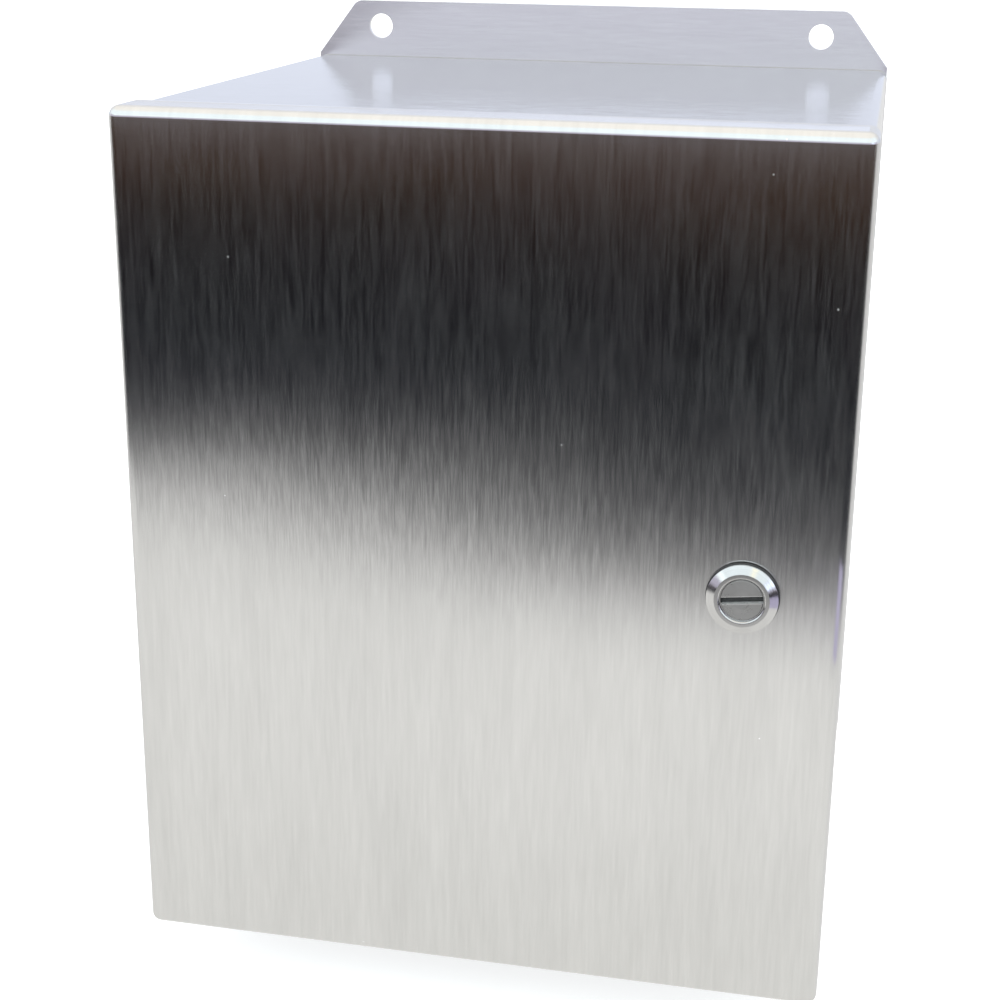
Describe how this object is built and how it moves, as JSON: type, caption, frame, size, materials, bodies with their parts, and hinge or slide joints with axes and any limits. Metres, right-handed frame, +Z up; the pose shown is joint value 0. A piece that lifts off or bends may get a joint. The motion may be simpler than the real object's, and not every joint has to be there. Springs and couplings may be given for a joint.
{
  "type": "wall-mount switchboard cabinet",
  "caption": "Small wall-mount stainless cabinet with a hinged door, slotted quarter-turn latch, tapered mounting flanges and an inner mounting panel.",
  "frame": {"origin": "centre of the back panel's rear face, on the wall plane", "axes": "+Y into the wall, so the door faces -Y; +Z up; +X to the right as seen from the front"},
  "size_m": [0.2113, 0.1958, 0.289],
  "materials": {
    "brushed_stainless": "vertical brushed grain, satin",
    "turned_stainless": "lathe-turned, bright",
    "zinc_plate": "clear zinc plate",
    "white_enamel": "white baked enamel, semi-gloss",
    "black_rubber": "matt"
  },
  "bodies": {
    "enclosure": {"body_shell": "brushed_stainless", "back_panel": "brushed_stainless", "body_hinge_leaf": "brushed_stainless", "hinge_pin": "turned_stainless", "mounting_panel": "white_enamel", "body_bonding_stud": "turned_stainless", "body_bonding_washer": "zinc_plate", "body_bonding_nut": "zinc_plate", "panel_stud_top_left": "turned_stainless", "panel_washer_top_left": "zinc_plate", "panel_nut_top_left": "zinc_plate", "panel_stud_top_right": "turned_stainless", "panel_washer_top_right": "zinc_plate", "panel_nut_top_right": "zinc_plate", "panel_stud_bottom_left": "turned_stainless", "panel_washer_bottom_left": "zinc_plate", "panel_nut_bottom_left": "zinc_plate", "panel_stud_bottom_right": "turned_stainless", "panel_washer_bottom_right": "zinc_plate", "panel_nut_bottom_right": "zinc_plate"},
    "door": {"door_shell": "brushed_stainless", "door_gasket": "black_rubber", "door_hinge_leaf": "brushed_stainless", "latch_housing": "turned_stainless", "latch_seal": "black_rubber", "latch_washer": "zinc_plate", "latch_nut": "zinc_plate", "door_bonding_stud": "turned_stainless", "door_bonding_washer": "zinc_plate", "door_bonding_nut": "zinc_plate"},
    "latch": {"latch_insert": "turned_stainless", "latch_o_ring": "black_rubber", "latch_cam": "zinc_plate", "cam_washer": "zinc_plate", "cam_screw": "zinc_plate"}
  },
  "joints": [
    {"name": "door_swing", "type": "hinge", "parent": "enclosure", "child": "door", "pos_m": [-0.1058, -0.1761, 0], "axis": [0, 0, -1], "range_deg": [0, 180]},
    {"name": "latch_turn", "type": "hinge", "parent": "door", "child": "latch", "pos_m": [0.0753, -0.1732, 0], "axis": [0, -1, 0], "range_deg": [-6.5, 83.5]}
  ]
}
